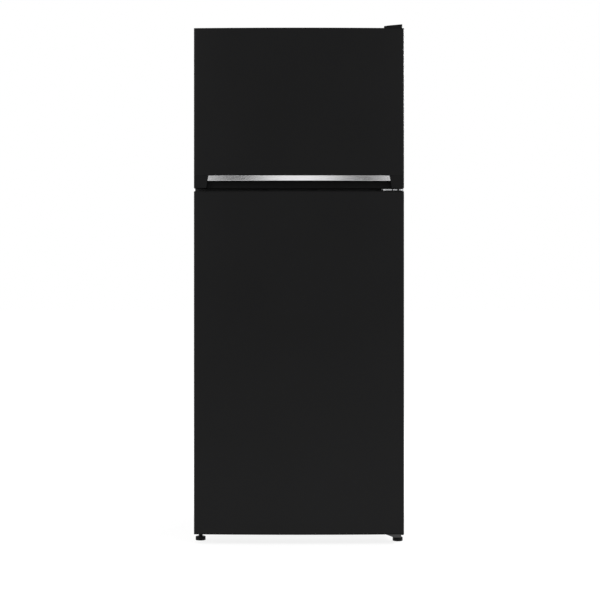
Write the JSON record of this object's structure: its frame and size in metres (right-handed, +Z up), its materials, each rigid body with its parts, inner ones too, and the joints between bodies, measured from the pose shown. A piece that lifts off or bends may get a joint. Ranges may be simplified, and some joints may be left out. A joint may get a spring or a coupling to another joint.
{
  "type": "top freezer refrigerator",
  "caption": "Upright two door refrigerator with a freezer on top, slightly bowed black doors hinged on the right, a metal strip over a finger recess, shelves, drawers and racks inside.",
  "frame": {"origin": "on the floor, under the centre of the overall box", "axes": "+Z up, the doors face -Y, +X is the hinge side, on the right seen from the front"},
  "size_m": [0.7, 0.685, 1.7323],
  "materials": {
    "black_steel": "satin black coated steel",
    "case_paint": "satin dark grey textured paint",
    "black_plastic": "matt black ABS",
    "strip_metal": "brushed satin metal",
    "zinc_steel": "zinc plated steel",
    "liner_white": "satin white polystyrene",
    "clear_plastic": "clear polystyrene",
    "grey_plastic": "satin light grey plastic",
    "foam": "rigid polyurethane foam",
    "gasket_rubber": "soft grey seal",
    "glass": "tempered glass",
    "compressor_black": "gloss black enamel",
    "copper": "copper tube",
    "fin_aluminium": "bare fins",
    "wire_white": "white coated wire",
    "mount_rubber": "matt black rubber",
    "lens_white": "frosted"
  },
  "bodies": {
    "cabinet": {"outer_case": "case_paint", "rear_panel": "zinc_steel", "freezer_liner": "liner_white", "fridge_liner": "liner_white", "centre_rail": "case_paint", "base_rail": "case_paint", "base_pan": "zinc_steel", "condenser": "copper", "cabinet_foam": "foam", "compressor_tray": "zinc_steel", "compressor": "compressor_black", "compressor_mounts": "mount_rubber", "drain_pan": "black_plastic", "top_hinge": "zinc_steel", "middle_hinge": "zinc_steel", "bottom_hinge": "compressor_black", "hinge_screws": "zinc_steel", "hinge_cover": "black_plastic", "evaporator": "fin_aluminium", "fan_motor": "black_plastic", "freezer_air_cover": "liner_white", "freezer_shelf": "wire_white", "ice_housing": "clear_plastic", "shelf_trims": "grey_plastic", "fridge_air_duct": "liner_white", "control_box": "liner_white", "lamp_lens": "lens_white", "crisper_cover_glass": "glass", "shelf_glass_lower": "glass", "shelf_glass_middle": "glass", "shelf_glass_upper": "glass"},
    "freezer_door": {"freezer_door_skin": "black_steel", "freezer_door_top_cap": "black_plastic", "freezer_door_grip_cap": "black_plastic", "freezer_door_strip": "strip_metal", "freezer_door_liner": "liner_white", "freezer_door_foam": "foam", "freezer_door_gasket": "gasket_rubber", "freezer_door_rack_lower": "clear_plastic", "freezer_door_rack_upper": "clear_plastic"},
    "fridge_door": {"fridge_door_skin": "black_steel", "fridge_door_top_cap": "black_plastic", "fridge_door_bottom_cap": "black_plastic", "fridge_door_liner": "liner_white", "fridge_door_foam": "foam", "fridge_door_gasket": "gasket_rubber", "fridge_door_rack_lower": "clear_plastic", "fridge_door_rack_middle": "clear_plastic", "fridge_door_rack_upper": "clear_plastic"},
    "crisper": {"crisper_drawer": "clear_plastic"},
    "chiller": {"chiller_drawer": "clear_plastic"},
    "ice_drawer": {"ice_box": "clear_plastic"},
    "twist_tray": {"ice_tray": "grey_plastic"},
    "dial": {"temperature_dial": "grey_plastic"},
    "slider": {"freezer_slider": "grey_plastic"},
    "fan": {"evaporator_fan": "black_plastic"},
    "rear_roller_left": {"roller_left": "grey_plastic"},
    "rear_roller_right": {"roller_right": "grey_plastic"},
    "front_foot_left": {"foot_left": "black_plastic"},
    "front_foot_right": {"foot_right": "black_plastic"}
  },
  "joints": [
    {"name": "freezer_door_hinge", "type": "hinge", "parent": "cabinet", "child": "freezer_door", "pos_m": [0.328, -0.3058, 1.182], "axis": [0, 0, 1], "range_deg": [0, 120]},
    {"name": "fridge_door_hinge", "type": "hinge", "parent": "cabinet", "child": "fridge_door", "pos_m": [0.328, -0.3058, 0.032], "axis": [0, 0, 1], "range_deg": [0, 120]},
    {"name": "crisper_slide", "type": "slide", "parent": "cabinet", "child": "crisper", "axis": [0, -1, 0], "range_m": [0, 0.01]},
    {"name": "chiller_slide", "type": "slide", "parent": "cabinet", "child": "chiller", "axis": [0, -1, 0], "range_m": [0, 0.012]},
    {"name": "ice_box_slide", "type": "slide", "parent": "cabinet", "child": "ice_drawer", "axis": [0, -1, 0], "range_m": [0, 0.012]},
    {"name": "ice_tray_twist", "type": "hinge", "parent": "cabinet", "child": "twist_tray", "pos_m": [-0.191, -0.15, 1.59], "axis": [0, 1, 0], "range_deg": [0, 60], "stiffness_Nm_per_rad": 0.05},
    {"name": "temperature_dial_turn", "type": "hinge", "parent": "cabinet", "child": "dial", "pos_m": [-0.07, -0.11, 1.1265], "axis": [0, -1, 0], "range_deg": [0, 150]},
    {"name": "freezer_slider_travel", "type": "slide", "parent": "cabinet", "child": "slider", "axis": [1, 0, 0], "range_m": [-0.036, 0.042]},
    {"name": "evaporator_fan_spin", "type": "hinge", "parent": "cabinet", "child": "fan", "pos_m": [0, 0.2375, 1.571], "axis": [0, 1, 0], "continuous": true},
    {"name": "roller_left_spin", "type": "hinge", "parent": "cabinet", "child": "rear_roller_left", "pos_m": [-0.302, 0.2985, 0.022], "axis": [1, 0, 0], "continuous": true},
    {"name": "roller_right_spin", "type": "hinge", "parent": "cabinet", "child": "rear_roller_right", "pos_m": [0.302, 0.2985, 0.022], "axis": [1, 0, 0], "continuous": true},
    {"name": "foot_left_level", "type": "slide", "parent": "cabinet", "child": "front_foot_left", "axis": [0, 0, -1], "range_m": [0, 0.012]},
    {"name": "foot_right_level", "type": "slide", "parent": "cabinet", "child": "front_foot_right", "axis": [0, 0, -1], "range_m": [0, 0.012]}
  ]
}
